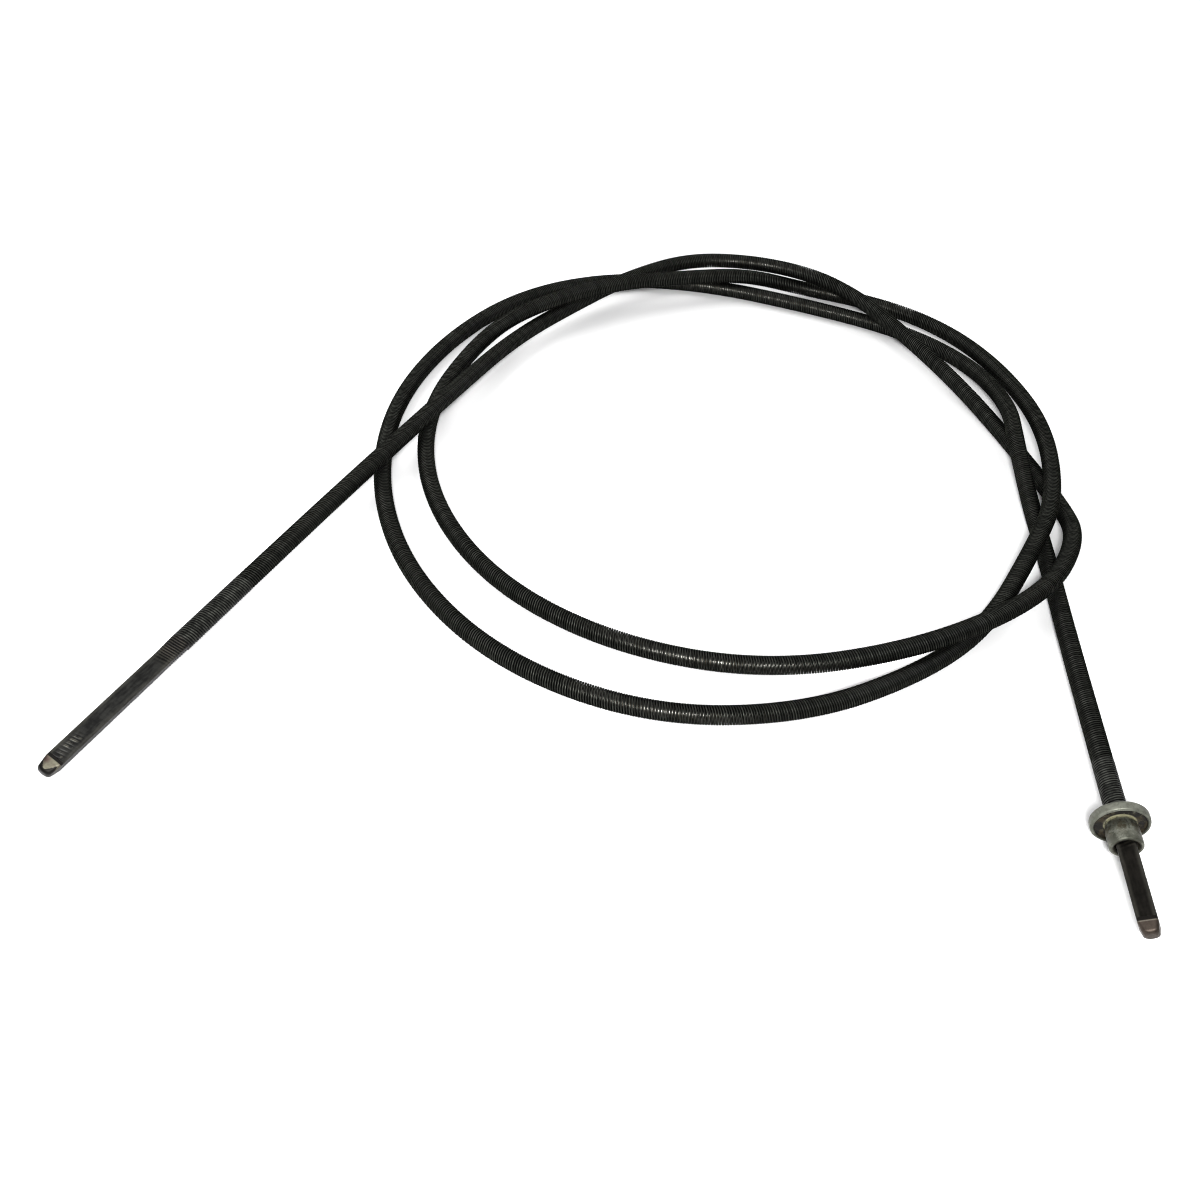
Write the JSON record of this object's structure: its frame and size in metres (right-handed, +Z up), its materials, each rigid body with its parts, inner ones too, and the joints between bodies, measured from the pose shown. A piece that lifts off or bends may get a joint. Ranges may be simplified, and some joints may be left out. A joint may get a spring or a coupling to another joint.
{
  "type": "flexible drive shaft",
  "caption": "Wound-wire flexible drive shaft, bare of its casing and loosely coiled, with square drive ends and a flanged retaining collar.",
  "frame": {"origin": "centre of the footprint, on the plane that the shaft lies on", "axes": "+Z up from that plane; the square ends point roughly towards -Y"},
  "size_m": [0.1625, 0.1642, 0.0084],
  "materials": {
    "outer_wire": "oil-darkened spring steel wire, worn bright on its ridges",
    "inner_wire": "bright drawn spring steel wire under oil",
    "fused_metal": "fused wire ends, brown heat tint, worn bright at the edges",
    "zinc": "zinc-plated steel, grimy in the recess"
  },
  "bodies": {
    "shaft_run": {"core_wire": "inner_wire", "first_winding": "inner_wire", "second_winding": "inner_wire", "third_winding": "inner_wire", "outer_winding": "outer_wire"},
    "long_end": {"long_core_wire": "inner_wire", "long_first_winding": "inner_wire", "long_second_winding": "inner_wire", "long_third_winding": "inner_wire", "long_outer_winding": "outer_wire", "long_fused_tip": "fused_metal"},
    "collar_end": {"collar_core_wire": "inner_wire", "collar_first_winding": "inner_wire", "collar_second_winding": "inner_wire", "collar_third_winding": "inner_wire", "collar_outer_winding": "outer_wire", "collar_fused_tip": "fused_metal", "retaining_collar": "zinc"}
  },
  "joints": [
    {"name": "collar_end_spin", "type": "hinge", "parent": "shaft_run", "child": "collar_end", "pos_m": [0.0714, -0.0537, 0.00375], "axis": [-0.0511, -0.997, 0.0575], "continuous": true},
    {"name": "long_end_spin", "type": "hinge", "parent": "shaft_run", "child": "long_end", "pos_m": [-0.0626, -0.0321, 0.00335], "axis": [0.4242, 0.9046, 0.0406], "continuous": true}
  ],
  "couplings": [
    {"joint": "long_end_spin", "follows": "collar_end_spin", "ratio": 1}
  ]
}
